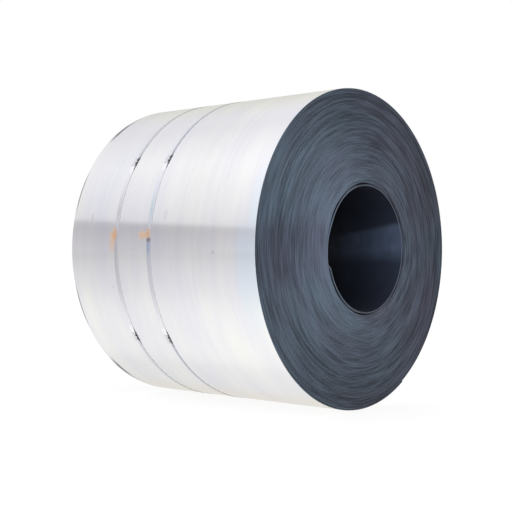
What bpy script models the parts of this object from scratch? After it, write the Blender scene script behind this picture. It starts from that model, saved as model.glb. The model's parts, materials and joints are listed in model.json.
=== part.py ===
"""A coil of hot rolled steel strip, lying on its side and held by two steel straps.

The axis of the coil runs along X and +Z is up. Stations are numbered round the axis, from +Y
towards +Z, and the flat facets between them are what the straps and seals lie on.
"""

import math

import bmesh
import bpy
from mathutils import Vector

# Facets round the coil, a multiple of four so that one of them faces straight down
SEGMENTS = 64

# The strip and its winding, in metres
STRIP_WIDTH = 1.540
STRIP_THICKNESS = 0.008
TURN_AIR = 0.0002
TIGHT_TURNS = 70
BORE_RADIUS = 0.381

# The ends show the turns in bands. The coil is telescoped: from the outermost band to the
# innermost, each stands further towards the near end, and uneven winding shifts it a little more
TURNS_PER_BAND = 5
TELESCOPE = 0.055
BAND_SHIFT = 0.003
SHIFT_RATIO = (math.sqrt(5.0) - 1.0) / 2.0

# The innermost turn stands off the rest, from the strip's head end almost once round
LOOSE_TURN_GAP = 0.012
HEAD_ANGLE = math.radians(192.0)
LIFT_ANGLE = math.radians(155.0)
MERGE_ANGLE = math.radians(177.0)

# The strip's tail end lies at the foot of the coil, on the side away from the seals
TAIL_ANGLE = math.radians(300.0)

# Straps: flat steel bands round the coil, each of two lengths joined by two seals
STRAP_WIDTH = 0.032
STRAP_THICKNESS = 0.0009
STRAP_FROM_NEAR_RIM = 0.830
STRAP_SPACING = 0.288
STRAP_END_PAST_SEAL = 0.005

# Seals: folded steel sleeves, notched along both edges to lock the lapped straps
SEAL_LENGTH = 0.066
SEAL_THICKNESS = 0.0009
SEAL_SEAM = 0.006
SEAL_UPPER_ANGLE = math.radians(146.25)
SEAL_LOWER_ANGLE = math.radians(213.75)
NOTCH_LENGTH = 0.008
NOTCH_DEPTH = 0.0045
NOTCH_SPACING = 0.026

# Clearance between pieces that lie on each other
SEAT_GAP = 0.0003

STEP = 2.0 * math.pi / SEGMENTS
PITCH = STRIP_THICKNESS + TURN_AIR
GAP_WALL_RADIUS = BORE_RADIUS + STRIP_THICKNESS + LOOSE_TURN_GAP
OUTER_RADIUS = GAP_WALL_RADIUS + TIGHT_TURNS * PITCH
BANDS = math.ceil(TIGHT_TURNS / TURNS_PER_BAND)


def station_angle(station):
    """Angle of a station, half a facet past a multiple of the facet angle."""
    return (station + 0.5) * STEP


def nearest_station(angle):
    return round(angle / STEP - 0.5)


def facet_at(angle):
    """Number of the station that starts the facet facing nearest to an angle."""
    return round(angle / STEP) - 1


HEAD = nearest_station(HEAD_ANGLE)
TAIL = nearest_station(TAIL_ANGLE)
LIFT_STEPS = (nearest_station(LIFT_ANGLE) - HEAD) % SEGMENTS
MERGE_STEPS = (nearest_station(MERGE_ANGLE) - HEAD) % SEGMENTS
SEAL_UPPER = facet_at(SEAL_UPPER_ANGLE)
SEAL_LOWER = facet_at(SEAL_LOWER_ANGLE)


def outer_radius(steps_past_tail):
    """Outside of the last turn, one strip thickness further out at its end than at its start."""
    return OUTER_RADIUS - STRIP_THICKNESS * (1.0 - steps_past_tail / SEGMENTS)


def inner_radius(steps_past_head):
    """Inside of the innermost turn: loose, then lifting to the next turn, then merging into it."""
    if steps_past_head <= LIFT_STEPS:
        return BORE_RADIUS
    if steps_past_head <= MERGE_STEPS:
        share = (steps_past_head - LIFT_STEPS) / (MERGE_STEPS - LIFT_STEPS)
        return BORE_RADIUS + LOOSE_TURN_GAP * share
    share = (steps_past_head - MERGE_STEPS) / (SEGMENTS - MERGE_STEPS)
    return BORE_RADIUS + LOOSE_TURN_GAP + STRIP_THICKNESS * share


def strap_seat(station):
    """Radius on which a taut strap lies: the last turn, or the straight run off its tail end."""
    steps = (station - TAIL) % SEGMENTS
    if steps == 0:
        return OUTER_RADIUS
    start = outer_radius(0)
    touch_angle = math.acos(start / OUTER_RADIUS)
    if steps * STEP < touch_angle:
        return max(outer_radius(steps), start / math.cos(touch_angle - steps * STEP))
    return outer_radius(steps)


AXIS_HEIGHT = SEAT_GAP + STRAP_THICKNESS + max(
    -strap_seat(station) * math.sin(station_angle(station)) for station in range(SEGMENTS)
)


def spoke(station, radius):
    """Place in the YZ plane at a station and a distance from the axis."""
    angle = station_angle(station)
    return Vector((0.0, radius * math.cos(angle), AXIS_HEIGHT + radius * math.sin(angle)))


def uneven_shift(band):
    """Shift of a band along the axis by uneven winding, spread out but the same each time."""
    return BAND_SHIFT * (2.0 * ((band + 1) * SHIFT_RATIO % 1.0) - 1.0)


def band_shift(band):
    """Shift of a band along the axis from the middle of the coil's whole length."""
    last = BANDS - 1
    telescoped = TELESCOPE * (0.5 - band / max(last, 1))
    centring = (uneven_shift(0) + uneven_shift(last)) / 2.0
    return telescoped + uneven_shift(band) - centring


class Winding:
    """A mesh whose corners are shared by all the faces that meet there."""

    def __init__(self):
        self.mesh = bmesh.new()
        self.corners = {}

    def corner(self, along, radius, station):
        key = (round(along, 7), round(radius, 7), station % SEGMENTS)
        if key not in self.corners:
            place = spoke(station, radius)
            self.corners[key] = self.mesh.verts.new((along, place.y, place.z))
        return self.corners[key]

    def face(self, *places):
        self.mesh.faces.new([self.corner(*place) for place in places])

    def wall(self, start, end, near, far, station):
        """A wall facing across the axis, from one radius at a station to one at the next."""
        self.face(
            (near, start, station),
            (near, end, station + 1),
            (far, end, station + 1),
            (far, start, station),
        )


def add_loose_turn(winding, near, far):
    """The innermost turn from its head end to where it meets the tight turns, and its gap."""
    for steps in range(MERGE_STEPS):
        station = HEAD + steps
        start, end = inner_radius(steps), inner_radius(steps + 1)
        outside_start, outside_end = start + STRIP_THICKNESS, end + STRIP_THICKNESS
        winding.wall(start, end, near, far, station)
        winding.wall(outside_start, outside_end, near, far, station)
        winding.wall(GAP_WALL_RADIUS, GAP_WALL_RADIUS, near, far, station)
        for edge in (near, far):
            winding.face(
                (edge, start, station),
                (edge, outside_start, station),
                (edge, outside_end, station + 1),
                (edge, end, station + 1),
            )
    winding.face(
        (near, BORE_RADIUS, HEAD),
        (near, BORE_RADIUS + STRIP_THICKNESS, HEAD),
        (far, BORE_RADIUS + STRIP_THICKNESS, HEAD),
        (far, BORE_RADIUS, HEAD),
    )


def add_merged_turn(winding, near, far):
    """The bore where the innermost turn has joined the tight ones."""
    for steps in range(MERGE_STEPS, SEGMENTS):
        winding.wall(inner_radius(steps), inner_radius(steps + 1), near, far, HEAD + steps)


def add_outside(winding, near, far):
    """The outside of the last turn, and the step at its tail end."""
    for steps in range(SEGMENTS):
        winding.wall(outer_radius(steps), outer_radius(steps + 1), near, far, TAIL + steps)
    winding.face(
        (near, outer_radius(0), TAIL),
        (near, OUTER_RADIUS, TAIL),
        (far, OUTER_RADIUS, TAIL),
        (far, outer_radius(0), TAIL),
    )


def add_band(winding, band, side):
    """One flat band of turns on an end of the coil, and the step to the next band."""
    along = side * STRIP_WIDTH / 2.0 + band_shift(band)
    inside = GAP_WALL_RADIUS + band * TURNS_PER_BAND * PITCH
    outside = inside + TURNS_PER_BAND * PITCH
    for station in range(SEGMENTS):
        past_head = (station - HEAD) % SEGMENTS
        past_tail = (station - TAIL) % SEGMENTS
        inner_edge = [(along, inside, station + 1), (along, inside, station)]
        outer_edge = [(along, outside, station), (along, outside, station + 1)]
        if band == 0 and past_head >= MERGE_STEPS:
            inner_edge = [
                (along, inner_radius(past_head + 1), station + 1),
                (along, inner_radius(past_head), station),
            ]
            if past_head == MERGE_STEPS:
                inner_edge.append((along, GAP_WALL_RADIUS, station))
        if band == BANDS - 1:
            outer_edge = [
                (along, outer_radius(past_tail), station),
                (along, outer_radius(past_tail + 1), station + 1),
            ]
            if past_tail == SEGMENTS - 1:
                outer_edge.append((along, outer_radius(0), station + 1))
        else:
            next_along = side * STRIP_WIDTH / 2.0 + band_shift(band + 1)
            winding.wall(outside, outside, along, next_along, station)
        winding.face(*inner_edge, *outer_edge)


def build_coil(material):
    """The strip wound up: one turned solid, open where the innermost turn stands off."""
    winding = Winding()
    half = STRIP_WIDTH / 2.0
    first, last = band_shift(0), band_shift(BANDS - 1)
    add_loose_turn(winding, half + first, -half + first)
    add_merged_turn(winding, half + first, -half + first)
    add_outside(winding, half + last, -half + last)
    for side in (1, -1):
        for band in range(BANDS):
            add_band(winding, band, side)
    return add_object("coil", winding.mesh, material)


def lay_points(station, along, height):
    """Place on the facet after a station, along it from its middle and above it."""
    start, end = spoke(station, strap_seat(station)), spoke(station + 1, strap_seat(station + 1))
    run = (end - start).normalized()
    outward = Vector((0.0, run.z, -run.y))
    return (start + end) / 2.0 + run * along + outward * height


def strap_sections(first_facet, last_facet, lift):
    """Inner and outer places of a strap, from its end in one seal to its end in another."""
    reach = SEAL_LENGTH / 2.0 + STRAP_END_PAST_SEAL
    top = STRAP_THICKNESS
    sections = [[lay_points(first_facet, -reach, SEAT_GAP + lift + rise) for rise in (0.0, top)]]
    for station in range(first_facet + 1, last_facet + 1):
        in_seal = station in (first_facet + 1, last_facet)
        height = SEAT_GAP + (lift if in_seal else 0.0)
        mitre = math.cos(STEP / 2.0)
        seat = strap_seat(station)
        sections.append([spoke(station, seat + (height + rise) / mitre) for rise in (0.0, top)])
    sections.append([lay_points(last_facet, reach, SEAT_GAP + lift + rise) for rise in (0.0, top)])
    return sections


def build_strap(name, centre, first_facet, last_facet, lift, material):
    """A flat strap swept round the coil, its ends cut square."""
    mesh = bmesh.new()
    rings = []
    for inner, outer in strap_sections(first_facet, last_facet, lift):
        corners = []
        for place, side in ((inner, -1), (inner, 1), (outer, 1), (outer, -1)):
            across = Vector((centre + side * STRAP_WIDTH / 2.0, 0.0, 0.0))
            corners.append(mesh.verts.new(place + across))
        rings.append(corners)
    for ring, next_ring in zip(rings, rings[1:]):
        for corner in range(4):
            following = (corner + 1) % 4
            mesh.faces.new((ring[corner], next_ring[corner], next_ring[following], ring[following]))
    mesh.faces.new(rings[0])
    mesh.faces.new(rings[-1])
    return add_object(name, mesh, material)


# Heights above the facet of what is stacked in a seal
SEAL_FLOOR = SEAT_GAP
UNDER_LIFT = SEAL_THICKNESS + SEAT_GAP
OVER_LIFT = UNDER_LIFT + STRAP_THICKNESS + SEAT_GAP
SEAL_CEILING = SEAT_GAP + OVER_LIFT + STRAP_THICKNESS + SEAT_GAP


def seal_outline():
    """Section of the folded sleeve: a top, two sides and two flanges that meet underneath."""
    inside = STRAP_WIDTH / 2.0 + SEAT_GAP
    outside = inside + SEAL_THICKNESS
    seam = SEAL_SEAM / 2.0
    half = [
        (seam, SEAL_FLOOR),
        (outside, SEAL_FLOOR),
        (outside, SEAL_CEILING + SEAL_THICKNESS),
    ]
    hollow = [
        (inside, SEAL_CEILING),
        (inside, SEAL_FLOOR + SEAL_THICKNESS),
        (seam, SEAL_FLOOR + SEAL_THICKNESS),
    ]
    mirrored_half = [(-across, height) for across, height in reversed(half)]
    mirrored_hollow = [(-across, height) for across, height in reversed(hollow)]
    return half + mirrored_half + mirrored_hollow + hollow


def extrude_outline(mesh, places, travel):
    """A prism from a flat outline, carried along a vector."""
    face = mesh.faces.new([mesh.verts.new(place) for place in places])
    moved = bmesh.ops.extrude_face_region(mesh, geom=[face], use_keep_orig=True)
    corners = [item for item in moved["geom"] if isinstance(item, bmesh.types.BMVert)]
    bmesh.ops.translate(mesh, verts=corners, vec=travel)


def build_seal_mesh():
    """The sleeve with its V notches cut, lying along Y with its floor just above Z = 0."""
    sleeve = bmesh.new()
    start = -SEAL_LENGTH / 2.0
    outline = [(across, start, height) for across, height in seal_outline()]
    extrude_outline(sleeve, outline, Vector((0.0, SEAL_LENGTH, 0.0)))
    sleeve_object = add_object("seal_blank", sleeve, None)

    notches = bmesh.new()
    edge = STRAP_WIDTH / 2.0 + SEAT_GAP + SEAL_THICKNESS
    clear = 0.002
    for side in (1, -1):
        for middle in (-NOTCH_SPACING / 2.0, NOTCH_SPACING / 2.0):
            spread = NOTCH_LENGTH / 2.0 * (NOTCH_DEPTH + clear) / NOTCH_DEPTH
            wedge = [
                (side * (edge - NOTCH_DEPTH), middle, -clear),
                (side * (edge + clear), middle - spread, -clear),
                (side * (edge + clear), middle + spread, -clear),
            ]
            height = SEAL_CEILING + SEAL_THICKNESS + 2.0 * clear
            extrude_outline(notches, wedge, Vector((0.0, 0.0, height)))
    notch_object = add_object("seal_notches", notches, None)

    cut = sleeve_object.modifiers.new("notches", "BOOLEAN")
    cut.operation = "DIFFERENCE"
    cut.object = notch_object
    depsgraph = bpy.context.evaluated_depsgraph_get()
    mesh = bpy.data.meshes.new_from_object(sleeve_object.evaluated_get(depsgraph))
    mesh.name = "seal"
    bpy.data.objects.remove(sleeve_object)
    bpy.data.objects.remove(notch_object)
    return mesh


def place_seal(name, mesh, centre, facet, material):
    """A seal laid flat on its facet, over the lap of the two strap lengths."""
    seat = lay_points(facet, 0.0, 0.0)
    outward = lay_points(facet, 0.0, 1.0) - seat
    seal = bpy.data.objects.new(name, mesh)
    seal.location = (centre, seat.y, seat.z)
    seal.rotation_euler = (math.atan2(outward.z, outward.y) - math.pi / 2.0, 0.0, 0.0)
    bpy.context.scene.collection.objects.link(seal)
    if not mesh.materials:
        mesh.materials.append(material)
    return seal


def add_object(name, mesh, material):
    """A bmesh made into a named object, with its faces out and its round sides smooth."""
    bmesh.ops.recalc_face_normals(mesh, faces=mesh.faces)
    data = bpy.data.meshes.new(name)
    mesh.to_mesh(data)
    mesh.free()
    data.shade_smooth()
    data.set_sharp_from_angle(angle=math.radians(30.0))
    if material:
        data.materials.append(material)
    result = bpy.data.objects.new(name, data)
    bpy.context.scene.collection.objects.link(result)
    return result


def steel(name, colour, roughness):
    """A plain metal finish."""
    material = bpy.data.materials.new(name)
    material.use_nodes = True
    shader = material.node_tree.nodes["Principled BSDF"]
    shader.inputs["Base Color"].default_value = (*colour, 1.0)
    shader.inputs["Metallic"].default_value = 1.0
    shader.inputs["Roughness"].default_value = roughness
    return material


def main():
    for item in list(bpy.data.objects):
        bpy.data.objects.remove(item)

    build_coil(steel("hot_rolled_steel", (0.55, 0.55, 0.57), 0.38))
    strap_steel = steel("strapping_steel", (0.42, 0.45, 0.50), 0.42)
    seal_steel = steel("seal_steel", (0.58, 0.58, 0.58), 0.35)

    seal_mesh = build_seal_mesh()
    near_rim = STRIP_WIDTH / 2.0 + band_shift(BANDS - 1)
    near_centre = near_rim - STRAP_FROM_NEAR_RIM
    for place, centre in (("near", near_centre), ("far", near_centre - STRAP_SPACING)):
        long_name, short_name = f"strap_{place}_long", f"strap_{place}_short"
        upper_next_turn = SEAL_UPPER + SEGMENTS
        build_strap(long_name, centre, SEAL_LOWER, upper_next_turn, UNDER_LIFT, strap_steel)
        build_strap(short_name, centre, SEAL_UPPER, SEAL_LOWER, OVER_LIFT, strap_steel)
        place_seal(f"seal_{place}_upper", seal_mesh, centre, SEAL_UPPER, seal_steel)
        place_seal(f"seal_{place}_lower", seal_mesh, centre, SEAL_LOWER, seal_steel)


main()
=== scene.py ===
"""The looks of a hot rolled steel coil: the wound strip, its strapping and seals, on white."""

import json
import math

import bmesh
import bpy
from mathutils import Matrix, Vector


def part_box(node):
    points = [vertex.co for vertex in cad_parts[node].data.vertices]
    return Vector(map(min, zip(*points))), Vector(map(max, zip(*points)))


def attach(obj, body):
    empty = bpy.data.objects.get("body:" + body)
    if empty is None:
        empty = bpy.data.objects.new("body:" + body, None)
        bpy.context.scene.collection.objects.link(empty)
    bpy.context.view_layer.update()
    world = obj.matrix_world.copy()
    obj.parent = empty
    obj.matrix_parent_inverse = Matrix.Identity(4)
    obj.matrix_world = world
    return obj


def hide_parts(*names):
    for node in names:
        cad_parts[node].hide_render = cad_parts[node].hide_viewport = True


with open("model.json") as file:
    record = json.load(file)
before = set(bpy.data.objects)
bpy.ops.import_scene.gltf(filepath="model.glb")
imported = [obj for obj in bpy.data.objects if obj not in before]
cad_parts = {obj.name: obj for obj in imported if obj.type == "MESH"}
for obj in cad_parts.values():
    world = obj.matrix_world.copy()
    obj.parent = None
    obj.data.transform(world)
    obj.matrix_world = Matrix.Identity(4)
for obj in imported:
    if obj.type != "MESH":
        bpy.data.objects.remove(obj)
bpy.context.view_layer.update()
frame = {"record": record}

MM = 0.001
FULL_TURN = 2.0 * math.pi
SHARP_ANGLE = math.radians(30.0)

# The strip and its winding, in metres, as the solids have them. Only the telescoping is a
# millimetre less, so that the wandering turns stay inside the solids' box.
STRIP_WIDTH = 1.540
STRIP_THICKNESS = 0.008
BORE_RADIUS = 0.381
LOOSE_TURN_GAP = 0.012
CAD_OUTER_RADIUS = 0.975
TELESCOPE = 0.054
CAD_FACETS = 64
HEAD_ANGLE = math.radians(34.5 * 360.0 / CAD_FACETS)
TAIL_ANGLE = math.radians(53.5 * 360.0 / CAD_FACETS)
LIFT_TURN = 57.0 / CAD_FACETS
MERGE_TURN = 61.0 / CAD_FACETS
WHOLE_TURNS = 70

# The round winding touches the middles of the solid's flat facets from inside
OUTER_RADIUS = CAD_OUTER_RADIUS * math.cos(math.pi / CAD_FACETS)
LAST_TURN = WHOLE_TURNS + (TAIL_ANGLE - HEAD_ANGLE) / FULL_TURN
GAP_WALL_RADIUS = BORE_RADIUS + LOOSE_TURN_GAP + STRIP_THICKNESS
PITCH = (OUTER_RADIUS - STRIP_THICKNESS - GAP_WALL_RADIUS) / (LAST_TURN - 1.0)

# Straps and seals, as the solids have them
STRAP_WIDTH = 0.032
STRAP_THICKNESS = 0.0009
STRAP_END_PAST_SEAL = 0.005
SEAL_LENGTH = 0.066
SEAL_THICKNESS = 0.0009
SEAL_SEAM = 0.006
SEAL_UPPER_ANGLE = math.radians(146.25)
SEAL_LOWER_ANGLE = math.radians(213.75)
NOTCH_LENGTH = 0.008
NOTCH_DEPTH = 0.0045
NOTCH_SPACING = 0.026
SEAT_GAP = 0.0003
UNDER_LIFT = SEAL_THICKNESS + SEAT_GAP
OVER_LIFT = UNDER_LIFT + STRAP_THICKNESS + SEAT_GAP
SEAL_CEILING = SEAT_GAP + OVER_LIFT + STRAP_THICKNESS + SEAT_GAP
STRAP_END_REACH = SEAL_LENGTH / 2.0 + STRAP_END_PAST_SEAL

# What only the looks add to them: a strap's rise into a seal and its bevel, and the seals' folds
RISE_START = STRAP_END_REACH + 0.004
RISE_LENGTH = 0.035
STRAP_BEVEL = 0.00025
FOLD_RADIUS = 0.0011

# Stations round a strap, the least angle from one to the next, and a mesh's shortest edge
STRAP_STATIONS = 240
LEAST_STEP = 0.0004
SHORTEST_EDGE = 0.00002

bore_low, bore_high = frame["record"]["physics"]["openings"][0]["box_m"]
AXIS_HEIGHT = (bore_low[2] + bore_high[2]) / 2.0

NEAR_RIM = (STRIP_WIDTH - TELESCOPE) / 2.0
FAR_RIM = NEAR_RIM - STRIP_WIDTH

# What the winding is given, by the names of its tree's inputs
WINDING = {
    "Turns": LAST_TURN, "Points per turn": 120.0, "Bore radius": BORE_RADIUS,
    "Loose turn gap": LOOSE_TURN_GAP, "Thickness": STRIP_THICKNESS, "Width": STRIP_WIDTH,
    "Edge rounding": 0.0028, "Pitch": PITCH, "Lift turn": LIFT_TURN, "Merge turn": MERGE_TURN,
    "Head angle": HEAD_ANGLE, "Axis height": AXIS_HEIGHT, "Wander": 0.003,
    "Telescope": TELESCOPE, "Corner radius": 0.014, "Seed": 3.0,
}
# The bright face starts on turns past this radius, and edges lean more than this to the ends
BRIGHT_RADIUS = 0.9
EDGE_LEAN = 0.3

# The height that the rust stains lie about, from the axis
RUST_LEVEL = OUTER_RADIUS * math.sin(math.radians(4.6))

# Where the studio's grey band ends, the floor's size, and its tone by metres to the side, darker
# under the coil as a painted shadow seen in the metal
BAND_EDGE = -0.186
FLOOR_RADIUS = 60.0
FLOOR_TONES = ((0.0, 0.78), (0.35, 0.84), (0.6, 0.90), (0.87, 1.0), (1.15, 1.0), (1.64, 0.95),
               (2.1, 0.89), (3.8, 0.80), (5.3, 0.76), (16.0, 0.70))


def strap_middle(place):
    """Where a strap's middle lies along the axis."""
    low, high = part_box(f"strap_{place}_long")
    return (low.x + high.x) / 2.0


STRAP_MIDDLES = {place: strap_middle(place) for place in ("near", "far")}


def linear(code):
    """An sRGB hex colour as linear red, green, blue and alpha."""
    channels = [int(code[start:start + 2], 16) / 255.0 for start in (1, 3, 5)]
    bent = [c / 12.92 if c <= 0.04045 else ((c + 0.055) / 1.055) ** 2.4 for c in channels]
    return (*bent, 1.0)


def fill(tree, node, inputs):
    """Give a node its inputs, by name or in order: values, hex colours, sockets or nodes."""
    if isinstance(inputs, dict):
        pairs = [(node.inputs[name], value) for name, value in inputs.items()]
    else:
        pairs = zip([socket for socket in node.inputs if socket.enabled], inputs)
    for socket, value in pairs:
        if isinstance(value, bpy.types.Node):
            value = next(output for output in value.outputs if output.enabled)
        if isinstance(value, bpy.types.NodeSocket):
            tree.links.new(value, socket)
        elif isinstance(value, str) and value.startswith("#"):
            socket.default_value = linear(value)
        else:
            socket.default_value = value


def add(tree, kind, inputs=(), **settings):
    """Add a node with its settings and its inputs."""
    node = tree.nodes.new(kind)
    for name, value in settings.items():
        setattr(node, name, value)
    fill(tree, node, inputs)
    return node


def times(tree, product, *values):
    """The product of several numbers."""
    for value in values:
        product = add(tree, "ShaderNodeMath", [product, value], operation="MULTIPLY")
    return product


def plus(tree, total, *values):
    """The sum of several numbers."""
    for value in values:
        total = add(tree, "ShaderNodeMath", [total, value], operation="ADD")
    return total


def window(tree, value, rise_start, rise_end, fall_start, fall_end):
    """One inside a range of values, nothing outside it, with soft ends."""
    rise = add(tree, "ShaderNodeMapRange", [value, rise_start, rise_end])
    fall = add(tree, "ShaderNodeMapRange", [value, fall_start, fall_end, 1.0, 0.0])
    return times(tree, rise, fall)


def new_material(name):
    """A material with its node tree, its shader and places measured from the coil's axis."""
    material = bpy.data.materials.new(name)
    material.use_nodes = True
    tree = material.node_tree
    shader = tree.nodes["Principled BSDF"]
    place = add(tree, "ShaderNodeTexCoord").outputs["Object"]
    centred = add(tree, "ShaderNodeMapping", {"Vector": place, "Location": (0, 0, -AXIS_HEIGHT)})
    return material, tree, shader, centred


def off_axis(tree, centred):
    """The vector straight out from the coil's axis to a place."""
    return add(tree, "ShaderNodeVectorMath", [centred, (0.0, 1.0, 1.0)], operation="MULTIPLY")


def flank_angle(tree, centred):
    """Degrees above or below the level of the axis, on the visible side, and their size."""
    parts = add(tree, "ShaderNodeSeparateXYZ", [centred]).outputs
    outward = times(tree, parts["Y"], -1.0)
    angle = add(tree, "ShaderNodeMath", [parts["Z"], outward], operation="ARCTAN2")
    angle = times(tree, angle, 180.0 / math.pi)
    return angle, add(tree, "ShaderNodeMath", [angle], operation="ABSOLUTE")


def drawn_out(tree, unit, round_coil, crosswise, detail):
    """Noise drawn out round the coil, so many cells to a radian, over another direction's."""
    place = add(tree, "ShaderNodeVectorMath", [unit, (0.0, round_coil, round_coil), crosswise],
                operation="MULTIPLY_ADD")
    return add(tree, "ShaderNodeTexNoise", [place, 1.0, detail])


def rolling_grain(tree, centred, width, round_coil):
    """Noise drawn out round the coil, so wide along the axis and so many cells to a radian."""
    unit = add(tree, "ShaderNodeVectorMath", [off_axis(tree, centred)], operation="NORMALIZE")
    axial = add(tree, "ShaderNodeVectorMath", [centred, (1.0 / width, 0.0, 0.0)],
                operation="MULTIPLY")
    return drawn_out(tree, unit, round_coil, axial, 3.0)


def spot(tree, centred, middle, radii, ragged, grain):
    """A patch on the visible side, round a point given along the axis and by height.

    Its outline wavers by noise, as much as it is ragged and in cells as wide as the grain.
    """
    depth = 0.5
    scale = (1.0 / radii[0], 1.0 / depth, 1.0 / radii[1])
    shift = (-middle[0] * scale[0], OUTER_RADIUS * scale[1], -middle[1] * scale[2])
    near = add(tree, "ShaderNodeMapping", {"Vector": centred, "Location": shift, "Scale": scale})
    distance = add(tree, "ShaderNodeVectorMath", [near], operation="LENGTH")
    rough = add(tree, "ShaderNodeTexNoise", [centred, 1.0 / grain, 3.0])
    distance = add(tree, "ShaderNodeMath", [rough, ragged, distance], operation="MULTIPLY_ADD")
    full, none = 0.45 + ragged / 2.0, 1.0 + ragged / 2.0
    return add(tree, "ShaderNodeMapRange", [distance, full, none, 1.0, 0.0])


def turned_metal(tree, shader, anisotropy):
    """Reflections that blur along the axis more than round the coil."""
    tangent = add(tree, "ShaderNodeTangent", direction_type="RADIAL", axis="X")
    fill(tree, shader, {"Tangent": tangent, "Anisotropic": anisotropy,
                        "Anisotropic Rotation": 0.25})


def rusted(tree, shader, colour, centred, worn=0.0):
    """Two rust stains and a brown mark that cross the straps, over metal that may be made dull
    where a strap's side is painted white.
    """
    marks = (
        ((-0.408, RUST_LEVEL - 0.022), (0.036, 0.092), 0.9, 0.62, "#EFC79E"),
        ((-0.393, RUST_LEVEL + 0.012), (0.026, 0.050), 0.9, 0.70, "#ECB47C"),
        ((-0.139, RUST_LEVEL + 0.004), (0.052, 0.036), 1.2, 0.77, "#F0C79F"),
        ((-0.094, RUST_LEVEL + 0.010), (0.028, 0.043), 0.8, 0.74, "#E8BC90"),
        ((-0.090, RUST_LEVEL - 0.025), (0.023, 0.018), 0.4, 0.85, "#897B7B"),
    )
    metal = add(tree, "ShaderNodeMapRange", [worn, 0.0, 1.0, 1.0, 0.1])
    for middle, radii, ragged, strength, tint in marks:
        mark = times(tree, spot(tree, centred, middle, radii, ragged, 22.22 * MM), strength)
        colour = add(tree, "ShaderNodeMix", [mark, colour, tint], data_type="RGBA")
        metal = add(tree, "ShaderNodeMix", [mark, metal, 0.1])
    fill(tree, shader, {"Base Color": colour, "Metallic": metal})


def rolled_face_material():
    """Hot rolled strip after a skin pass: bright, with the rolling grain round the coil."""
    material, tree, shader, centred = new_material("skin_passed_strip_face")
    along = add(tree, "ShaderNodeSeparateXYZ", [centred]).outputs["X"]
    angle, slope = flank_angle(tree, centred)
    # The real grain is finer than a millimetre: it is drawn as coarse as it needs to show
    broad = rolling_grain(tree, centred, 200.0 * MM, 1.3)
    medium = rolling_grain(tree, centred, 45.45 * MM, 1.2)
    fine = rolling_grain(tree, centred, 6.667 * MM, 1.8)
    warmer = add(tree, "ShaderNodeMapRange", [broad, 0.35, 0.65])
    colour = add(tree, "ShaderNodeMix", [warmer, "#F1F1F6", "#F9F9F6"], data_type="RGBA")
    # Duller towards the far end, and a little on the upper side near the middle
    duller = times(tree, window(tree, along, -0.10, 0.15, 0.48, 0.64),
                   add(tree, "ShaderNodeMapRange", [angle, -8.0, 4.0]))
    tone = times(tree, add(tree, "ShaderNodeMapRange", [fine, 0.3, 0.7, 0.98, 1.01]),
                 add(tree, "ShaderNodeMapRange", [medium, 0.3, 0.7, 0.982, 1.01]),
                 add(tree, "ShaderNodeMapRange", [along, -0.30, 0.58, 0.925, 1.0]),
                 add(tree, "ShaderNodeMapRange", [duller, 0.0, 1.0, 1.0, 0.974]))
    colour = add(tree, "ShaderNodeVectorMath", [colour, tone], operation="SCALE")
    # A bluer strip runs beside the near rim, strongest level with the axis
    wide = add(tree, "ShaderNodeMapRange", [along, NEAR_RIM - 0.166, NEAR_RIM - 0.104])
    wide = times(tree, wide, window(tree, angle, -30.0, -12.0, 3.0, 9.0))
    narrow = add(tree, "ShaderNodeMapRange", [along, NEAR_RIM - 0.072, NEAR_RIM - 0.031])
    narrow = times(tree, narrow, add(tree, "ShaderNodeMapRange", [slope, 14.0, 30.0, 1.0, 0.0]))
    beside_rim = add(tree, "ShaderNodeMath", [wide, narrow], operation="MAXIMUM")
    colour = add(tree, "ShaderNodeMix", [times(tree, beside_rim, 0.7), colour, "#EBF7FF"],
                 data_type="RGBA")
    # Darker along the far rim in stretches, wider on the steeper ones
    for reach, stretch, strength in ((0.032, (46.0, 51.5, 57.0, 67.0), 0.85),
                                     (0.012, (12.0, 18.0, 26.0, 32.0), 0.60)):
        edge = FAR_RIM + reach
        far_rim_dark = times(tree, add(tree, "ShaderNodeMapRange", [along, edge, edge + 0.006, 1.0, 0.0]),
                     window(tree, slope, *stretch), strength)
        colour = add(tree, "ShaderNodeMix", [far_rim_dark, colour, "#4C4E52"], data_type="RGBA")
    # Specks and smudges
    for middle, radii, strength in (
        ((0.432, -0.020), (0.018, 0.013), 0.16), ((-0.430, -0.232), (0.009, 0.008), 0.18),
        ((0.037, 0.200), (0.023, 0.045), 0.10), ((-0.619, 0.200), (0.020, 0.038), 0.11),
    ):
        mark = times(tree, spot(tree, centred, middle, radii, 0.5, 12.5 * MM), strength)
        colour = add(tree, "ShaderNodeMix", [mark, colour, "#5A5866"], data_type="RGBA")
    roughness = add(tree, "ShaderNodeMapRange", [fine, 0.3, 0.7, 0.10, 0.14])
    fill(tree, shader, {"Roughness": roughness})
    turned_metal(tree, shader, 0.4)
    rusted(tree, shader, colour, centred)
    return material


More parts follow.
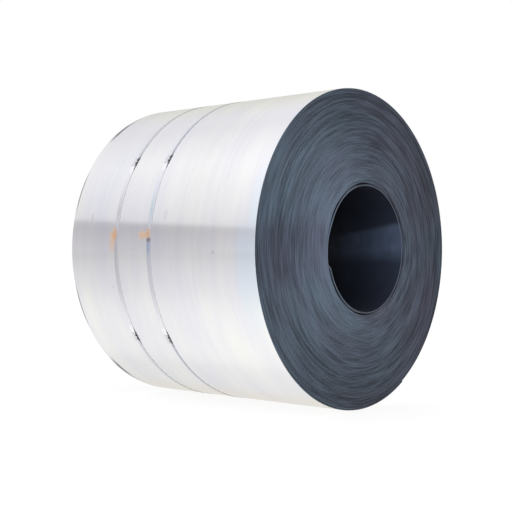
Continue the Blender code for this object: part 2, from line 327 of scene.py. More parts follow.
def rolled_edge_material():
    """Mill edges of the strip under blue-grey oxide, in arcs a little lighter or darker, with
    painted light and shade by side and height.
    """
    material, tree, shader, centred = new_material("oxidised_mill_edge_painted_light")
    parts = add(tree, "ShaderNodeSeparateXYZ", [centred]).outputs
    across, height = parts["Y"], parts["Z"]
    flat = off_axis(tree, centred)
    radius = add(tree, "ShaderNodeVectorMath", [flat], operation="LENGTH")
    unit = add(tree, "ShaderNodeVectorMath", [flat], operation="NORMALIZE")

    def arcs(width, round_coil, detail, offset):
        outwards = add(tree, "ShaderNodeMath", [radius, 1.0 / width, offset],
                       operation="MULTIPLY_ADD")
        outwards = add(tree, "ShaderNodeCombineXYZ", [outwards, offset, offset])
        return drawn_out(tree, unit, round_coil, outwards, detail)

    # Lines about as wide as a turn, and bundles of turns
    lines = arcs(9.524 * MM, 3.2, 3.0, 0.0)
    lines = add(tree, "ShaderNodeMapRange", [lines, 0.36, 0.64, -0.34, 0.34])
    bundles = arcs(50.0 * MM, 2.0, 2.0, 7.0)
    bundles = add(tree, "ShaderNodeMapRange", [bundles, 0.34, 0.66, -0.17, 0.17])
    # Painted light: lighter towards the visible side, most of all inside; darker towards the rim
    painted_side_light = add(tree, "ShaderNodeMapRange", [across, -0.9, 0.9, 0.24, -0.12])
    inner = times(tree, add(tree, "ShaderNodeMapRange", [radius, 0.39, 0.56, 0.88, 0.484]),
                  add(tree, "ShaderNodeMapRange", [radius, 0.50, 0.80, 1.0, 0.0]),
                  add(tree, "ShaderNodeMapRange", [across, -0.45, 0.40, 1.0, 0.10]))
    outer = add(tree, "ShaderNodeMapRange", [radius, 0.72, 0.93, -0.03, -0.14])
    # Painted shade beside the gap but for the visible side, then a lighter ring
    painted_gap_shade = times(tree, window(tree, radius, 0.398, 0.401, 0.411, 0.420),
                       add(tree, "ShaderNodeMapRange", [across, -0.25, 0.05, 0.0, -0.25]))
    ring = times(tree, window(tree, radius, 0.416, 0.422, 0.430, 0.440), 0.10)
    # A lighter patch towards the rim, above the axis on the visible side
    from_patch = add(tree, "ShaderNodeVectorMath", [flat, (0.0, -0.74, 0.42)],
                     operation="DISTANCE")
    patch = add(tree, "ShaderNodeMapRange", [from_patch, 0.10, 0.26, 0.17, 0.0])
    # A darker band about level with the axis, most of all on the visible side: painted shade, the
    # studio's grey band painted in
    level = window(tree, height, -0.25, -0.10, 0.11, 0.18)
    painted_band_shade = times(tree, level, add(tree, "ShaderNodeMapRange", [across, -0.3, 0.3, -0.16, -0.05]))
    share = plus(tree, lines, bundles, painted_side_light, inner, outer, painted_gap_shade, ring, patch, painted_band_shade)
    share = add(tree, "ShaderNodeMapRange", [share, -0.5, 0.9])
    # The oxide is more violet or more teal in broad patches
    patches = arcs(142.9 * MM, 1.1, 1.0, 3.0)
    patches = add(tree, "ShaderNodeMapRange", [patches, 0.30, 0.70, -0.3, 0.3])
    off_level = add(tree, "ShaderNodeMapRange", [across, -0.6, 0.8, 0.8, 0.3])
    on_level = add(tree, "ShaderNodeMapRange", [across, -0.6, 0.8, 0.40, 0.75])
    teal = plus(tree, patches, add(tree, "ShaderNodeMix", [level, off_level, on_level]))
    dark = add(tree, "ShaderNodeMix", [teal, "#2A2B39", "#27303E"], data_type="RGBA")
    light = add(tree, "ShaderNodeMix", [teal, "#6F7288", "#73889A"], data_type="RGBA")
    colour = add(tree, "ShaderNodeMix", [share, dark, light], data_type="RGBA")
    # The loose turn's edge has lost some of its oxide
    turn = add(tree, "ShaderNodeAttribute", attribute_name="turn").outputs["Fac"]
    loose = add(tree, "ShaderNodeMapRange", [turn, 0.86, 0.92, 0.6, 0.0])
    steep = add(tree, "ShaderNodeSeparateXYZ", [unit]).outputs["Z"]
    steep = add(tree, "ShaderNodeMath", [steep], operation="ABSOLUTE")
    steep = add(tree, "ShaderNodeMapRange", [steep, 0.6, 1.0])
    bare = add(tree, "ShaderNodeMix", [steep, "#686E7A", "#454753"], data_type="RGBA")
    colour = add(tree, "ShaderNodeMix", [loose, colour, bare], data_type="RGBA")
    fill(tree, shader, {"Base Color": colour, "Metallic": 0.3, "Roughness": 0.5})
    return material


def bore_scale_and_light_material():
    """Oxide scale on the inside of the strip: near black, with painted light, a dull blue, towards
    its open ends and level with the axis.
    """
    material, tree, shader, centred = new_material("dark_oxide_scale_painted_light")
    parts = add(tree, "ShaderNodeSeparateXYZ", [centred]).outputs
    from_middle = add(tree, "ShaderNodeMath", [parts["X"]], operation="ABSOLUTE")
    off_level = add(tree, "ShaderNodeMath", [parts["Z"]], operation="ABSOLUTE")
    patches = rolling_grain(tree, centred, 111.1 * MM, 2.0)
    # Painted light: lighter and bluer towards the open ends, less so above and below the axis
    share = plus(tree, add(tree, "ShaderNodeMapRange", [from_middle, 0.2, 0.78]),
                 add(tree, "ShaderNodeMapRange", [patches, 0.3, 0.7, -0.10, 0.10]))
    dimmed = add(tree, "ShaderNodeMapRange", [off_level, 0.14, 0.36])
    painted_mouth_light = add(tree, "ShaderNodeMix", [dimmed, "#454F64", "#353846"], data_type="RGBA")
    colour = add(tree, "ShaderNodeMix", [share, "#10131E", painted_mouth_light], data_type="RGBA")
    # Painted light on the wall, about level with the axis and lower further in
    sloped = add(tree, "ShaderNodeMath", [from_middle, -0.147, parts["Z"]],
                 operation="MULTIPLY_ADD")
    streaks = rolling_grain(tree, centred, 62.5 * MM, 5.0)
    level = times(tree, add(tree, "ShaderNodeMapRange", [parts["Z"], -0.09, 0.0]),
                  add(tree, "ShaderNodeMapRange", [sloped, 0.03, 0.06, 1.0, 0.0]),
                  add(tree, "ShaderNodeMapRange", [streaks, 0.35, 0.65, 0.75, 1.0]), share, 0.85)
    colour = add(tree, "ShaderNodeMix", [level, colour, "#8094B4"], data_type="RGBA")
    # The walls of the gap behind the loose turn are much lighter above and below
    radius = add(tree, "ShaderNodeVectorMath", [off_axis(tree, centred)], operation="LENGTH")
    in_gap = add(tree, "ShaderNodeMapRange", [radius, BORE_RADIUS + 0.005, BORE_RADIUS + 0.007])
    in_gap = times(tree, in_gap, add(tree, "ShaderNodeMapRange", [off_level, 0.26, 0.36]))
    colour = add(tree, "ShaderNodeMix", [in_gap, colour, "#B0B4C0"], data_type="RGBA")
    fill(tree, shader, {"Base Color": colour, "Metallic": 0.3, "Roughness": 0.42})
    return material


def strap_material(place, length, middle):
    """Steel strapping: bright where it is clean, with a blue tint on the short length's middle, a
    painted shadow along the long length's near edge, a painted highlight where the short length
    leaves the seals and painted white on the sheared side.
    """
    material, tree, shader, centred = new_material(f"steel_strapping_{place}_{length}")
    near_side = middle + STRAP_WIDTH / 2.0
    along = add(tree, "ShaderNodeSeparateXYZ", [centred]).outputs["X"]
    angle, slope = flank_angle(tree, centred)
    # The rolling grain is coarser than the real one, so that it shows
    grain = rolling_grain(tree, centred, 2.381 * MM, 5.0)
    grain = add(tree, "ShaderNodeMapRange", [grain, 0.3, 0.7])
    colour = add(tree, "ShaderNodeMix", [grain, "#E4E4EC", "#F2F2F4"], data_type="RGBA")
    if length == "long":
        # The edge towards the near end is painted dark blue-grey as the shadow line along it, most
        # of it by the seals
        reach, edge_shadow_colour = (0.013, "#A0A3AF") if place == "near" else (0.022, "#C8CACE")
        edge = near_side - reach
        uneven = rolling_grain(tree, centred, 250.0 * MM, 6.0)
        blue_tint_and_edge_shadow = times(tree, add(tree, "ShaderNodeMapRange", [along, edge - 0.003, edge + 0.003]),
                      add(tree, "ShaderNodeMapRange", [uneven, 0.3, 0.7, 0.75, 1.0]),
                      add(tree, "ShaderNodeMapRange", [slope, 40.0, 55.0, 0.78, 0.60]))
        colour = add(tree, "ShaderNodeMix", [blue_tint_and_edge_shadow, colour, edge_shadow_colour], data_type="RGBA")
        worn = add(tree, "ShaderNodeMapRange",
                   [along, near_side - 0.0014, near_side - 0.0006, 0.0, 0.6])
    else:
        # Rubbed almost clean again just above the rust
        rubbed = window(tree, angle, 5.5, 7.0, 10.0, 13.0)
        blue_tint_and_edge_shadow = times(tree, add(tree, "ShaderNodeMapRange", [slope, 14.0, 27.0, 1.0, 0.0]),
                      add(tree, "ShaderNodeMapRange", [rubbed, 0.0, 1.0, 0.8, 0.2]))
        if place == "near":
            upper = add(tree, "ShaderNodeMapRange", [angle, -5.0, 5.0])
            tint = add(tree, "ShaderNodeMix", [upper, "#D4D5DC", "#CDDAE3"], data_type="RGBA")
            colour = add(tree, "ShaderNodeMix", [blue_tint_and_edge_shadow, colour, tint], data_type="RGBA")
            bluest = times(tree, window(tree, angle, -2.8, -0.3, 2.5, 4.5), 0.8)
            colour = add(tree, "ShaderNodeMix", [bluest, colour, "#B9C4DB"], data_type="RGBA")
        else:
            colour = add(tree, "ShaderNodeMix", [blue_tint_and_edge_shadow, colour, "#CFCFD3"], data_type="RGBA")
        # A painted highlight, white where it leaves the seals
        painted_highlight = times(tree, window(tree, slope, 28.4, 29.6, 33.0, 34.0), 0.65)
        colour = add(tree, "ShaderNodeMix", [painted_highlight, colour, "#FFFFFF"], data_type="RGBA")
        worn = add(tree, "ShaderNodeMapRange", [along, near_side - 0.003, near_side - 0.001])
    # Painted white along its sheared side: painted light against the shade that the side and the
    # gap under it show
    colour = add(tree, "ShaderNodeMix", [worn, colour, "#FCFCFC"], data_type="RGBA")
    fill(tree, shader, {"Roughness": 0.22})
    turned_metal(tree, shader, 0.5)
    rusted(tree, shader, colour, centred, worn)
    return material


def seal_material(place, middle):
    """Plain steel seals: bright but for the near edge, which is painted dark as shade, with
    painted shadow at the notches.
    """
    material, tree, shader, centred = new_material(f"crimped_steel_seal_{place}")
    along = add(tree, "ShaderNodeSeparateXYZ", [centred]).outputs["X"]
    # Painted shadow along the near edge, with a ragged outline
    shadow_outline_noise = add(tree, "ShaderNodeTexNoise", [centred, 1.0 / (6.25 * MM), 3.0])
    ragged = add(tree, "ShaderNodeMath", [shadow_outline_noise, 0.006, along], operation="MULTIPLY_ADD")
    edge = add(tree, "ShaderNodeMapRange", [ragged, middle + 0.0142, middle + 0.0158, 0.0, 0.72])
    # Painted shadow in two spots at the notches
    run = add(tree, "ShaderNodeAttribute", attribute_name="run").outputs["Fac"]
    from_notch = add(tree, "ShaderNodeMath", [run], operation="ABSOLUTE")
    from_notch = add(tree, "ShaderNodeMath", [from_notch, NOTCH_SPACING / 2.0],
                     operation="SUBTRACT")
    from_notch = add(tree, "ShaderNodeMath", [from_notch], operation="ABSOLUTE")
    notch_shadows = times(tree, add(tree, "ShaderNodeMapRange", [from_notch, 0.005, 0.008, 1.0, 0.0]),
                  add(tree, "ShaderNodeMapRange", [ragged, middle + 0.0085, middle + 0.0105]))
    painted_seal_shadow = add(tree, "ShaderNodeMath", [edge, notch_shadows], operation="MAXIMUM")
    worn = add(tree, "ShaderNodeTexNoise", [centred, 1.0 / (4.167 * MM), 3.0])
    worn = add(tree, "ShaderNodeMapRange", [worn, 0.4, 0.7])
    clean = add(tree, "ShaderNodeMix", [worn, "#E8E8EC", "#C9CAD0"], data_type="RGBA")
    dark = add(tree, "ShaderNodeMix", [worn, "#24252A", "#45464C"], data_type="RGBA")
    colour = add(tree, "ShaderNodeMix", [painted_seal_shadow, clean, dark], data_type="RGBA")
    roughness = add(tree, "ShaderNodeMapRange", [painted_seal_shadow, 0.0, 1.0, 0.25, 0.45])
    fill(tree, shader, {"Base Color": colour, "Metallic": 0.9, "Roughness": roughness})
    return material


def turn_radius(tree, given, turn):
    """The radius of the strip's middle, so many turns from the head end."""
    tight = add(tree, "ShaderNodeMath", [turn, 1.0], operation="SUBTRACT")
    tight = add(tree, "ShaderNodeMath", [tight, 0.0], operation="MAXIMUM")
    whole = add(tree, "ShaderNodeMath", [tight], operation="FLOOR")
    part = add(tree, "ShaderNodeMath", [tight], operation="FRACT")
    # The inner turns rise only where the first one lifts; further out they rise evenly
    lifted = add(tree, "ShaderNodeMapRange", [turn, given["Lift turn"], given["Merge turn"]],
                 interpolation_type="SMOOTHSTEP")
    merged = add(tree, "ShaderNodeMapRange", [turn, given["Merge turn"], 1.0])
    bumped = add(tree, "ShaderNodeMapRange", [part, given["Merge turn"], 1.0])
    evenness = add(tree, "ShaderNodeMath", [whole, given["Turns"]], operation="DIVIDE")
    rise = plus(tree, whole, add(tree, "ShaderNodeMix", [evenness, bumped, part]))
    radius = given["Bore radius"]
    for size, share in ((given["Thickness"], 0.5), (given["Loose turn gap"], lifted),
                        (given["Thickness"], merged), (given["Pitch"], rise)):
        radius = add(tree, "ShaderNodeMath", [size, share, radius], operation="MULTIPLY_ADD")
    return radius


def turn_along(tree, given, turn):
    """Where the strip's middle stands along the axis, so many turns from the head end."""
    # The turns wander, slowly over several turns and a little on each
    seeded = plus(tree, turn, given["Seed"])
    wander = -0.5
    for per_turn, share in ((0.21, 0.75), (0.83, 0.25)):
        drift = add(tree, "ShaderNodeTexNoise", [seeded, per_turn, 0.0], noise_dimensions="1D")
        wander = add(tree, "ShaderNodeMath", [drift, share, wander], operation="MULTIPLY_ADD")
    wander = times(tree, wander, given["Wander"])
    # Telescoped: the inner turns stand further towards the near end than the outer ones
    reached = add(tree, "ShaderNodeMapRange", [turn, 1.0, given["Turns"], 0.5, -0.5])
    return add(tree, "ShaderNodeMath", [reached, given["Telescope"], wander],
               operation="MULTIPLY_ADD")


def with_rounded_head(tree, given, strip):
    """The strip with the near corner of its head end rounded off."""
    turn = add(tree, "GeometryNodeInputNamedAttribute", {"Name": "turn"}, data_type="FLOAT")
    from_head = times(tree, turn, FULL_TURN, given["Bore radius"])
    radius = given["Corner radius"]
    short = add(tree, "ShaderNodeMath", [radius, from_head], operation="SUBTRACT")
    short = add(tree, "ShaderNodeMath", [short, 0.0], operation="MAXIMUM")
    left = add(tree, "ShaderNodeMath", [times(tree, radius, radius), times(tree, short, short)],
               operation="SUBTRACT")
    left = add(tree, "ShaderNodeMath", [left], operation="SQRT")
    pulled = add(tree, "ShaderNodeMath", [left, radius], operation="SUBTRACT")
    along = add(tree, "ShaderNodeSeparateXYZ", [add(tree, "GeometryNodeInputPosition")])
    at_near_edge = add(tree, "ShaderNodeMath", [along.outputs["X"], 0.0],
                       operation="GREATER_THAN")
    return add(tree, "GeometryNodeSetPosition",
               {"Geometry": strip, "Selection": at_near_edge,
                "Offset": add(tree, "ShaderNodeCombineXYZ", [pulled])})


def with_finishes(tree, given, strip, face, edge, scale):
    """The strip, bright outside its last turns, with oxide on its edges and everywhere else."""
    facing = add(tree, "GeometryNodeInputNormal")
    lean = add(tree, "ShaderNodeSeparateXYZ", [facing]).outputs["X"]
    lean = add(tree, "ShaderNodeMath", [lean], operation="ABSOLUTE")
    axis = add(tree, "ShaderNodeCombineXYZ", [0.0, 0.0, given["Axis height"]])
    centred = add(tree, "ShaderNodeVectorMath", [add(tree, "GeometryNodeInputPosition"), axis],
                  operation="SUBTRACT")
    outwards = add(tree, "ShaderNodeVectorMath", [facing, off_axis(tree, centred)],
                   operation="DOT_PRODUCT")
    strip = add(tree, "GeometryNodeSetMaterial", {"Geometry": strip, "Material": scale})
    for measure, least, material in ((outwards, BRIGHT_RADIUS, face), (lean, EDGE_LEAN, edge)):
        chosen = add(tree, "ShaderNodeMath", [measure, least], operation="GREATER_THAN")
        strip = add(tree, "GeometryNodeSetMaterial",
                    {"Geometry": strip, "Selection": chosen, "Material": material})
    corner = add(tree, "GeometryNodeInputMeshEdgeAngle")
    is_sharp = add(tree, "ShaderNodeMath", [corner, SHARP_ANGLE], operation="GREATER_THAN")
    return add(tree, "GeometryNodeSetShadeSmooth",
               {"Geometry": strip, "Selection": is_sharp, "Shade Smooth": False}, domain="EDGE")


def winding_tree(face, edge, scale):
    """The tree that winds the strip in a spiral from a loose innermost turn."""
    tree = bpy.data.node_groups.new("strip_winding", "GeometryNodeTree")
    for name in WINDING:
        tree.interface.new_socket(name, in_out="INPUT", socket_type="NodeSocketFloat")
    tree.interface.new_socket("Geometry", in_out="OUTPUT", socket_type="NodeSocketGeometry")
    given = add(tree, "NodeGroupInput").outputs

    # Each point's place, by its turns from the head end
    per_turn = given["Points per turn"]
    count = add(tree, "ShaderNodeMath", [given["Turns"], per_turn, 1.0],
                operation="MULTIPLY_ADD")
    turn = add(tree, "ShaderNodeMath", [add(tree, "GeometryNodeInputIndex"), per_turn],
               operation="DIVIDE")
    angle = add(tree, "ShaderNodeMath", [turn, FULL_TURN, given["Head angle"]],
                operation="MULTIPLY_ADD")
    outward = add(tree, "ShaderNodeCombineXYZ",
                  [0.0, add(tree, "ShaderNodeMath", [angle], operation="COSINE"),
                   add(tree, "ShaderNodeMath", [angle], operation="SINE")])
    spoke = add(tree, "ShaderNodeVectorMath", [outward, turn_radius(tree, given, turn)],
                operation="SCALE")
    centre = add(tree, "ShaderNodeCombineXYZ",
                 [turn_along(tree, given, turn), 0.0, given["Axis height"]])
    place = add(tree, "ShaderNodeVectorMath", [centre, spoke], operation="ADD")

    # The strip's section, swept along a line that is wound through those places
    line = add(tree, "GeometryNodeCurvePrimitiveLine")
    line = add(tree, "GeometryNodeResampleCurve", {"Curve": line, "Count": count})
    line = add(tree, "GeometryNodeStoreNamedAttribute",
               {"Geometry": line, "Name": "turn", "Value": turn}, data_type="FLOAT",
               domain="POINT")
    line = add(tree, "GeometryNodeSetPosition", {"Geometry": line, "Position": place})
    line = add(tree, "GeometryNodeSetCurveNormal", {"Curve": line, "Normal": outward},
               mode="FREE")
    section = add(tree, "GeometryNodeCurvePrimitiveQuadrilateral",
                  {"Width": given["Thickness"], "Height": given["Width"]})
    section = add(tree, "GeometryNodeFilletCurve",
                  {"Curve": section, "Radius": given["Edge rounding"], "Count": 1}, mode="POLY")
    strip = add(tree, "GeometryNodeCurveToMesh",
                {"Curve": line, "Profile Curve": section, "Fill Caps": True})
    strip = with_rounded_head(tree, given, strip)
    strip = with_finishes(tree, given, strip, face, edge, scale)
    add(tree, "NodeGroupOutput", [add(tree, "GeometryNodeRealizeInstances", [strip])])
    return tree


def new_object(name, data):
    """An object in the scene."""
    made = bpy.data.objects.new(name, data)
    bpy.context.scene.collection.objects.link(made)
    return made


def evaluated_mesh(carrier):
    """The mesh that an object's modifiers make, with the object itself removed."""
    depsgraph = bpy.context.evaluated_depsgraph_get()
    mesh = bpy.data.meshes.new_from_object(carrier.evaluated_get(depsgraph))
    bpy.data.objects.remove(carrier)
    return mesh


def wind_strip():
    """The whole strip, wound, in place of the solid coil."""
    tree = winding_tree(rolled_face_material(), rolled_edge_material(), bore_scale_and_light_material())
    carrier = new_object("winding", bpy.data.meshes.new("winding"))
    modifier = carrier.modifiers.new("winding", "NODES")
    modifier.node_group = tree
    for socket in tree.interface.items_tree:
        if socket.in_out == "INPUT":
            modifier[socket.identifier] = WINDING[socket.name]
    mesh = evaluated_mesh(carrier)
    mesh.name = "wound_strip"
    strip = new_object("wound_strip", mesh)
    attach(strip, "root")
    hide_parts("coil")


def seat_radius(angle):
    """Radius on which a taut strap lies: the last turn, or the straight run off its tail end."""
    past_tail = (angle - TAIL_ANGLE) % FULL_TURN
    surface = OUTER_RADIUS - PITCH * (1.0 - past_tail / FULL_TURN)
    start = OUTER_RADIUS - PITCH
    touch_angle = math.acos(start / OUTER_RADIUS)
    if past_tail < touch_angle:
        return max(surface, start / math.cos(touch_angle - past_tail))
    return surface


def wrapped(along, angle, height):
    """A place above the winding, given along the axis, round it and outwards."""
    radius = seat_radius(angle) + height
    return Vector((along, radius * math.cos(angle), AXIS_HEIGHT + radius * math.sin(angle)))


def lift_near_seal(distance, lift):
    """Height of a strap at a distance from a seal's middle, down to the winding beyond it."""
    share = min(max((distance - RISE_START) / RISE_LENGTH, 0.0), 1.0)
    return SEAT_GAP + lift * (1.0 - share * share * (3.0 - 2.0 * share))


def strap_half_width(distance):
    """Half the strap's width at a distance from a seal's middle, less at the crimp notches."""
    depth = NOTCH_DEPTH - SEAL_THICKNESS - SEAT_GAP
    half_mouth = NOTCH_LENGTH / 2.0 * depth / NOTCH_DEPTH
    from_notch = abs(distance - NOTCH_SPACING / 2.0)
    return STRAP_WIDTH / 2.0 - depth * max(0.0, 1.0 - from_notch / half_mouth)


def strap_angles(first_seal, last_seal):
    """Stations round a strap, close together at the seals and at the strip's tail end."""
    reach = STRAP_END_REACH / OUTER_RADIUS
    notch = NOTCH_SPACING / 2.0 / OUTER_RADIUS
    mouth = NOTCH_LENGTH / 2.0 / OUTER_RADIUS
    # By a seal: both ends, the notches and the rise
    local = [reach, -reach]
    for side in (-1.0, 1.0):
        local += [side * notch + step * mouth for step in (-0.74, -0.37, 0.0, 0.37, 0.74)]
    local += [reach * 1.1 + step * 0.0047 for step in range(10)]
    angles = {first_seal + a for a in local} | {last_seal - a for a in local}
    # By the tail end: the step and the straight run off it
    angles |= {TAIL_ANGLE + turn * FULL_TURN + a for turn in (-1, 0, 1)
               for a in (-0.002, 0.0, 0.02, 0.05, 0.09, 0.13, 0.17)}
    angles |= {FULL_TURN * step / STRAP_STATIONS
               for step in range(-STRAP_STATIONS, 2 * STRAP_STATIONS)}
    kept = []
    for angle in sorted(a for a in angles if first_seal - reach <= a <= last_seal + reach):
        if not kept or angle - kept[-1] > LEAST_STEP:
            kept.append(angle)
    return kept


def skin(mesh, rings):
    """A closed surface over rings of vertices, with its first and last ring filled."""
    for ring, following in zip(rings, rings[1:]):
        for corner in range(len(ring)):
            after = (corner + 1) % len(ring)
            mesh.faces.new((ring[corner], ring[after], following[after], following[corner]))
    mesh.faces.new(list(reversed(rings[0])))
    mesh.faces.new(rings[-1])


def finish_mesh(name, mesh, material=None):
    """An object from a mesh, faces outwards, smooth but for its sharp edges."""
    bmesh.ops.dissolve_degenerate(mesh, dist=SHORTEST_EDGE, edges=mesh.edges)
    bmesh.ops.recalc_face_normals(mesh, faces=mesh.faces)
    if mesh.calc_volume(signed=True) < 0.0:
        bmesh.ops.reverse_faces(mesh, faces=mesh.faces)
    for face in mesh.faces:
        face.smooth = True
    for edge in mesh.edges:
        edge.smooth = edge.calc_face_angle(0.0) < SHARP_ANGLE
    data = bpy.data.meshes.new(name)
    mesh.to_mesh(data)
    mesh.free()
    data.materials.append(material)
    return new_object(name, data)


def lay_strap(place, length, first_seal, last_seal, lift):
    """One length of strapping, from its end in one seal round to its end in another."""
    middle = STRAP_MIDDLES[place]
    half = STRAP_THICKNESS / 2.0
    bevel = STRAP_BEVEL
    mesh = bmesh.new()
    rings = []
    for angle in strap_angles(first_seal, last_seal):
        distance = min(abs(angle - first_seal), abs(angle - last_seal)) * OUTER_RADIUS
        side = strap_half_width(distance)
        base = lift_near_seal(distance, lift) + half
        section = [(-side, -half + bevel), (-side + bevel, -half), (side - bevel, -half),
                   (side, -half + bevel), (side, half - bevel), (side - bevel, half),
                   (-side + bevel, half), (-side, half - bevel)]
        rings.append([mesh.verts.new(wrapped(middle + across, angle, base + height))
                      for across, height in section])
    skin(mesh, rings)
    strap = finish_mesh(f"strapping_{place}_{length}", mesh,
                        strap_material(place, length, middle))
    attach(strap, "root")
    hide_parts(f"strap_{place}_{length}")


def rounded(corner, before, after, radius, steps=3):
    """Points that round a right-angled corner of an outline."""
    start = Vector(corner) + (Vector(before) - Vector(corner)).normalized() * radius
    end = Vector(corner) + (Vector(after) - Vector(corner)).normalized() * radius
    centre = start + end - Vector(corner)
    points = []
    for step in range(steps + 1):
        turn = math.pi / 2.0 * step / steps
        points.append(tuple(centre + (start - centre) * math.cos(turn)
                            + (end - centre) * math.sin(turn)))
    return points


def seal_outline():
    """Section of the folded sleeve, from one flange underneath round to the other and back."""
    inside = STRAP_WIDTH / 2.0 + SEAT_GAP
    outside = inside + SEAL_THICKNESS
    seam, top = SEAL_SEAM / 2.0, SEAL_CEILING + SEAL_THICKNESS
    low, floor = SEAT_GAP, SEAT_GAP + SEAL_THICKNESS
    outer = [(seam, low), (outside, low), (outside, top), (-outside, top), (-outside, low),
             (-seam, low)]
    points = [outer[0]]
    for before, corner, after in zip(outer, outer[1:], outer[2:]):
        points += rounded(corner, before, after, FOLD_RADIUS)
    points.append(outer[-1])
    return points + [(-seam, floor), (-inside, floor), (-inside, SEAL_CEILING),
                     (inside, SEAL_CEILING), (inside, floor), (seam, floor)]


def cut_seal():
    """The sleeve lying flat, with V notches cut through both its folded edges."""
    sleeve = bmesh.new()
    pieces = 8
    skin(sleeve, [[sleeve.verts.new((across, SEAL_LENGTH * (step / pieces - 0.5), height))
                   for across, height in seal_outline()] for step in range(pieces + 1)])
    blank = finish_mesh("seal_blank", sleeve)
    cutters = bmesh.new()
    edge = STRAP_WIDTH / 2.0 + SEAT_GAP + SEAL_THICKNESS
    clear = 0.002
    spread = NOTCH_LENGTH / 2.0 * (NOTCH_DEPTH + clear) / NOTCH_DEPTH
    for side in (1.0, -1.0):
        for middle in (-NOTCH_SPACING / 2.0, NOTCH_SPACING / 2.0):
            wedge = [(side * (edge - NOTCH_DEPTH), middle),
                     (side * (edge + clear), middle - spread),
                     (side * (edge + clear), middle + spread)]
            skin(cutters, [[cutters.verts.new((across, run, height)) for across, run in wedge]
                           for height in (-clear, SEAL_CEILING + 2.0 * clear)])
    cutter = finish_mesh("seal_cutters", cutters)
    cut = blank.modifiers.new("notches", "BOOLEAN")
    cut.operation, cut.solver, cut.object = "DIFFERENCE", "EXACT", cutter
    mesh = evaluated_mesh(blank)
    bpy.data.objects.remove(cutter)
    return mesh


def set_seal(flat, place, height_name, angle):
    """A seal bent to the coil over the lap of the two strap lengths."""
    middle = STRAP_MIDDLES[place]
    mesh = bmesh.new()
    mesh.from_mesh(flat)
    run_layer = mesh.verts.layers.float.new("run")
    for vertex in mesh.verts:
        across, run, height = vertex.co
        vertex[run_layer] = run
        vertex.co = wrapped(middle + across, angle + run / OUTER_RADIUS, height)
    seal = finish_mesh(f"crimped_{place}_{height_name}", mesh, seal_material(place, middle))
    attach(seal, "root")
    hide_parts(f"seal_{place}_{height_name}")


def lay_strapping():
    """Both straps, each a short length between its seals and a long one the rest of the way."""
    flat = cut_seal()
    for place in STRAP_MIDDLES:
        lay_strap(place, "short", SEAL_UPPER_ANGLE, SEAL_LOWER_ANGLE, OVER_LIFT)
        lay_strap(place, "long", SEAL_LOWER_ANGLE, SEAL_UPPER_ANGLE + FULL_TURN, UNDER_LIFT)
        set_seal(flat, place, "upper", SEAL_UPPER_ANGLE)
        set_seal(flat, place, "lower", SEAL_LOWER_ANGLE)


def set_camera():
    """The photographed view: from the side and the near end, level with the axis."""
    heading, tilt = 130.939, -0.096
    data = bpy.data.cameras.new("camera")
    data.sensor_width = 36.0
    data.lens = 70.31
    camera = new_object("camera", data)
    camera.location = (4.239, -4.994, AXIS_HEIGHT - 0.032)
    camera.rotation_euler = (math.radians(90.0 + tilt), 0.0, math.radians(heading - 90.0))
    bpy.context.scene.camera = camera


def set_world():
    """White to the camera; to the metal, a pale studio above a greyer band at the horizon."""
    world = bpy.data.worlds.new("studio")
    world.use_nodes = True
    tree = world.node_tree
    tree.nodes.clear()
    direction = add(tree, "ShaderNodeTexCoord").outputs["Generated"]
    toward, across, height = add(tree, "ShaderNodeSeparateXYZ", [direction]).outputs
    # The band's sharp top edge climbs away from the near end
    edge = add(tree, "ShaderNodeMath", [toward, 0.58, height], operation="MULTIPLY_ADD")
    above_band = add(tree, "ShaderNodeMapRange", [edge, BAND_EDGE - 0.012, BAND_EDGE + 0.012])
    band = times(tree, add(tree, "ShaderNodeMapRange", [height, 0.0, 0.18, 0.685, 0.58]),
                 add(tree, "ShaderNodeMapRange", [toward, -0.78, -0.73, 1.11, 1.0]),
                 add(tree, "ShaderNodeMapRange", [toward, -0.71, -0.66, 1.0, 1.13]))
    # Greyer and warmer behind the coil
    sky = times(tree, add(tree, "ShaderNodeMapRange", [height, 0.22, 0.66, 0.85, 1.06]),
                add(tree, "ShaderNodeMapRange", [across, -0.25, 0.20, 1.0, 0.86]))
    warmth = add(tree, "ShaderNodeMapRange", [across, 0.35, 0.65])
    tint = add(tree, "ShaderNodeMix", [warmth, "#FBFBFF", "#FBFAF2"], data_type="RGBA")
    tint = add(tree, "ShaderNodeMix", [above_band, "#F8F6FC", tint], data_type="RGBA")
    tone = add(tree, "ShaderNodeMix", [above_band, band, sky])
    seen = add(tree, "ShaderNodeLightPath").outputs["Is Camera Ray"]
    colour = add(tree, "ShaderNodeMix", [seen, tint, "#FFFFFF"], data_type="RGBA")
    strength = add(tree, "ShaderNodeMix", [seen, tone, 1.0])
    background = add(tree, "ShaderNodeBackground", [colour, strength])
    add(tree, "ShaderNodeOutputWorld", [background])
    bpy.context.scene.world = world


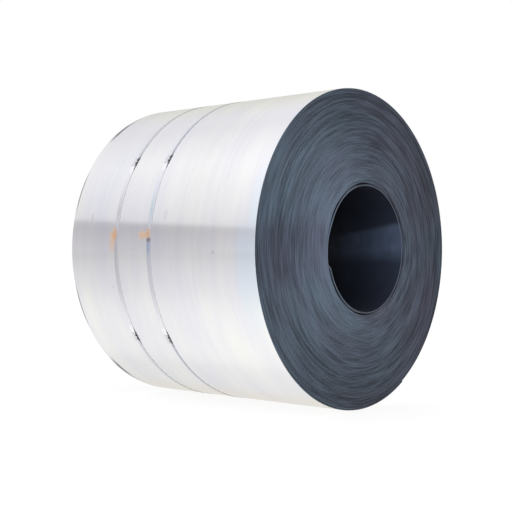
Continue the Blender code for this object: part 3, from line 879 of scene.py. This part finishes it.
def floor_material():
    """A faint shadow to the camera; to the metal, a floor darker under the coil as a painted
    shadow, brightest beside it and greyer further away.
    """
    material = bpy.data.materials.new("white_studio_floor")
    material.use_nodes = True
    tree = material.node_tree
    tree.nodes.clear()
    place = add(tree, "ShaderNodeTexCoord").outputs["Object"]
    sideways = add(tree, "ShaderNodeSeparateXYZ", [place]).outputs["Y"]
    sideways = add(tree, "ShaderNodeMath", [sideways], operation="ABSOLUTE")
    # The tones as a curve over their whole reach
    reach = FLOOR_TONES[-1][0]
    tone = add(tree, "ShaderNodeMapRange", [sideways, 0.0, reach])
    tone = add(tree, "ShaderNodeFloatCurve", [1.0, tone])
    points = tone.mapping.curves[0].points
    for distance, value in FLOOR_TONES[1:-1]:
        points.new(distance / reach, value)
    points[0].location = (0.0, FLOOR_TONES[0][1])
    points[-1].location = (1.0, FLOOR_TONES[-1][1])
    tone.mapping.update()
    # Warmer under the coil and cooler away from it
    beside = add(tree, "ShaderNodeMapRange", [sideways, 0.28, 0.42])
    away = add(tree, "ShaderNodeMapRange", [sideways, 1.6, 2.6])
    tint = add(tree, "ShaderNodeMix", [beside, "#FFFBF4", "#FFFFFF"], data_type="RGBA")
    tint = add(tree, "ShaderNodeMix", [away, tint, "#FCFBFF"], data_type="RGBA")
    reflected = add(tree, "ShaderNodeEmission", [tint, tone])
    matt = add(tree, "ShaderNodeBsdfDiffuse", ["#DDDDDD"])
    white = add(tree, "ShaderNodeEmission", ["#FFFFFF", 0.80])
    shadow_keeper = add(tree, "ShaderNodeBsdfDiffuse", ["#959595"])
    path = add(tree, "ShaderNodeLightPath").outputs
    unseen = add(tree, "ShaderNodeMixShader", [path["Is Glossy Ray"], matt, reflected])
    visible = add(tree, "ShaderNodeAddShader", [white, shadow_keeper])
    both = add(tree, "ShaderNodeMixShader", [path["Is Camera Ray"], unseen, visible])
    add(tree, "ShaderNodeOutputMaterial", [both])
    return material


def lay_floor():
    """A wide white floor."""
    mesh = bmesh.new()
    bmesh.ops.create_circle(mesh, cap_ends=True, segments=96, radius=FLOOR_RADIUS)
    data = bpy.data.meshes.new("floor")
    mesh.to_mesh(data)
    mesh.free()
    data.materials.append(floor_material())
    floor = new_object("floor", data)


bpy.context.scene.view_settings.view_transform = "Standard"
set_camera()
set_world()
lay_floor()
wind_strip()
lay_strapping()
